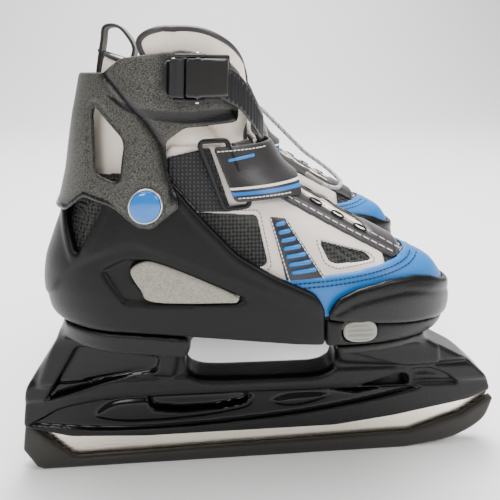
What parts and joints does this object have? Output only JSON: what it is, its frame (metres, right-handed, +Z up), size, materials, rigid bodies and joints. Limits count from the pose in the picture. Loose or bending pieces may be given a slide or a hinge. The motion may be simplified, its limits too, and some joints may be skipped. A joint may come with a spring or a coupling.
{
  "type": "ice skates",
  "caption": "Pair of extendable ice skates with hard shell, hinged cuff, ratchet buckle, instep strap, laces, steel blade and clip-on blade guard.",
  "frame": {"origin": "on the floor under the middle of the pair, with the free lace ends left out", "axes": "+X towards the toe of the right skate, +Y to the skater's left, +Z up"},
  "size_m": [0.2946, 0.2424, 0.259],
  "materials": {
    "blade": "polished stainless steel",
    "blade_guard": "soft matt plastic, dark grey",
    "holder": "black, fine satin texture with glossy recesses",
    "shell": "black, matt moulded",
    "inlay": "silver speckled",
    "toe_cap": "dark grey, satin, rubbery",
    "button": "grey, ribbed",
    "bolt": "zinc plated",
    "vamp": "blue synthetic leather, double stitched",
    "upper": "cream synthetic leather with black mesh windows",
    "eyestay": "dark synthetic leather, white stitching",
    "liner": "cream padded lining",
    "tongue": "cream synthetic leather with a black padded edge",
    "footbed": "brushed, dark",
    "webbing_grey": "ribbed grey webbing, black edges",
    "webbing_black": "woven webbing",
    "ring": "black coated wire",
    "strap_pad": "dark synthetic leather, white stitching",
    "cuff": "charcoal, speckled, satin",
    "pivot_cap": "blue gloss",
    "buckle": "black satin",
    "lever": "dark satin gloss",
    "axle": "plain steel",
    "ladder": "black, ribbed",
    "lace": "braided, off-white with blue flecks"
  },
  "bodies": {
    "right_boot": {"right_blade": "blade", "right_holder": "holder", "right_rear_shell": "shell", "right_shell_inlay": "inlay", "right_sole_bolt_rear": "bolt", "right_sole_bolt_front": "bolt", "right_upper": "upper", "right_eyestay": "eyestay", "right_liner": "liner", "right_tongue": "tongue", "right_footbed": "footbed", "right_pull_loop": "webbing_grey", "right_instep_webbing": "webbing_black", "right_strap_ring": "ring", "right_strap_pad": "strap_pad", "right_pivot_cap_outer": "pivot_cap", "right_pivot_cap_inner": "pivot_cap", "right_lace": "lace", "right_lace_end": "lace"},
    "right_guard": {"right_blade_guard": "blade_guard"},
    "right_toe": {"right_toe_shell": "shell", "right_toe_cap": "toe_cap", "right_toe_vamp": "vamp"},
    "right_button": {"right_size_button": "button"},
    "right_cuff": {"right_cuff": "cuff", "right_buckle_base": "buckle", "right_buckle_axle": "axle", "right_ladder_strap": "ladder"},
    "right_lever": {"right_buckle_lever": "lever"},
    "right_pawl": {"right_buckle_pawl": "buckle"},
    "left_boot": {"left_blade": "blade", "left_holder": "holder", "left_rear_shell": "shell", "left_shell_inlay": "inlay", "left_sole_bolt_rear": "bolt", "left_sole_bolt_front": "bolt", "left_upper": "upper", "left_eyestay": "eyestay", "left_liner": "liner", "left_tongue": "tongue", "left_footbed": "footbed", "left_pull_loop": "webbing_grey", "left_instep_webbing": "webbing_black", "left_strap_ring": "ring", "left_strap_pad": "strap_pad", "left_pivot_cap_outer": "pivot_cap", "left_pivot_cap_inner": "pivot_cap", "left_lace": "lace", "left_lace_end": "lace"},
    "left_guard": {"left_blade_guard": "blade_guard"},
    "left_toe": {"left_toe_shell": "shell", "left_toe_cap": "toe_cap", "left_toe_vamp": "vamp"},
    "left_button": {"left_size_button": "button"},
    "left_cuff": {"left_cuff": "cuff", "left_buckle_base": "buckle", "left_buckle_axle": "axle", "left_ladder_strap": "ladder"},
    "left_lever": {"left_buckle_lever": "lever"},
    "left_pawl": {"left_buckle_pawl": "buckle"}
  },
  "joints": [
    {"name": "pair_apart", "type": "slide", "parent": "right_boot", "child": "left_boot", "axis": [0, 1, 0], "range_m": [0, 0.1]},
    {"name": "right_guard_off", "type": "slide", "parent": "right_boot", "child": "right_guard", "axis": [0, 0, -1], "range_m": [0, 0.03]},
    {"name": "right_toe_extend", "type": "slide", "parent": "right_boot", "child": "right_toe", "axis": [0.9964, 0, -0.0847], "range_m": [0, 0.018]},
    {"name": "right_size_press", "type": "slide", "parent": "right_toe", "child": "right_button", "axis": [0, 1, 0], "range_m": [0, 0.002], "stiffness_N_per_m": 400},
    {"name": "right_cuff_flex", "type": "hinge", "parent": "right_boot", "child": "right_cuff", "pos_m": [-0.07233, -0.07132, 0.157], "axis": [0, 1, 0], "range_deg": [0, 5], "stiffness_Nm_per_rad": 3},
    {"name": "right_lever_lift", "type": "hinge", "parent": "right_cuff", "child": "right_lever", "pos_m": [-0.04533, -0.11637, 0.2255], "axis": [0, 0, -1], "range_deg": [0, 60], "stiffness_Nm_per_rad": 0.02},
    {"name": "right_pawl_lift", "type": "hinge", "parent": "right_cuff", "child": "right_pawl", "pos_m": [-0.05383, -0.11805, 0.2255], "axis": [0, 0, 1], "range_deg": [0, 12], "stiffness_Nm_per_rad": 0.02},
    {"name": "left_guard_off", "type": "slide", "parent": "left_boot", "child": "left_guard", "axis": [0, 0, -1], "range_m": [0, 0.03]},
    {"name": "left_toe_extend", "type": "slide", "parent": "left_boot", "child": "left_toe", "axis": [0.9867, -0.1387, -0.0847], "range_m": [0, 0.018]},
    {"name": "left_size_press", "type": "slide", "parent": "left_toe", "child": "left_button", "axis": [-0.1392, -0.9903, 0], "range_m": [0, 0.002], "stiffness_N_per_m": 400},
    {"name": "left_cuff_flex", "type": "hinge", "parent": "left_boot", "child": "left_cuff", "pos_m": [-0.06377, 0.07375, 0.157], "axis": [0.1392, 0.9903, 0], "range_deg": [0, 5], "stiffness_Nm_per_rad": 3},
    {"name": "left_lever_lift", "type": "hinge", "parent": "left_cuff", "child": "left_lever", "pos_m": [-0.03076, 0.11461, 0.2255], "axis": [0, 0, 1], "range_deg": [0, 60], "stiffness_Nm_per_rad": 0.02},
    {"name": "left_pawl_lift", "type": "hinge", "parent": "left_cuff", "child": "left_pawl", "pos_m": [-0.03894, 0.11746, 0.2255], "axis": [0, 0, -1], "range_deg": [0, 12], "stiffness_Nm_per_rad": 0.02}
  ]
}
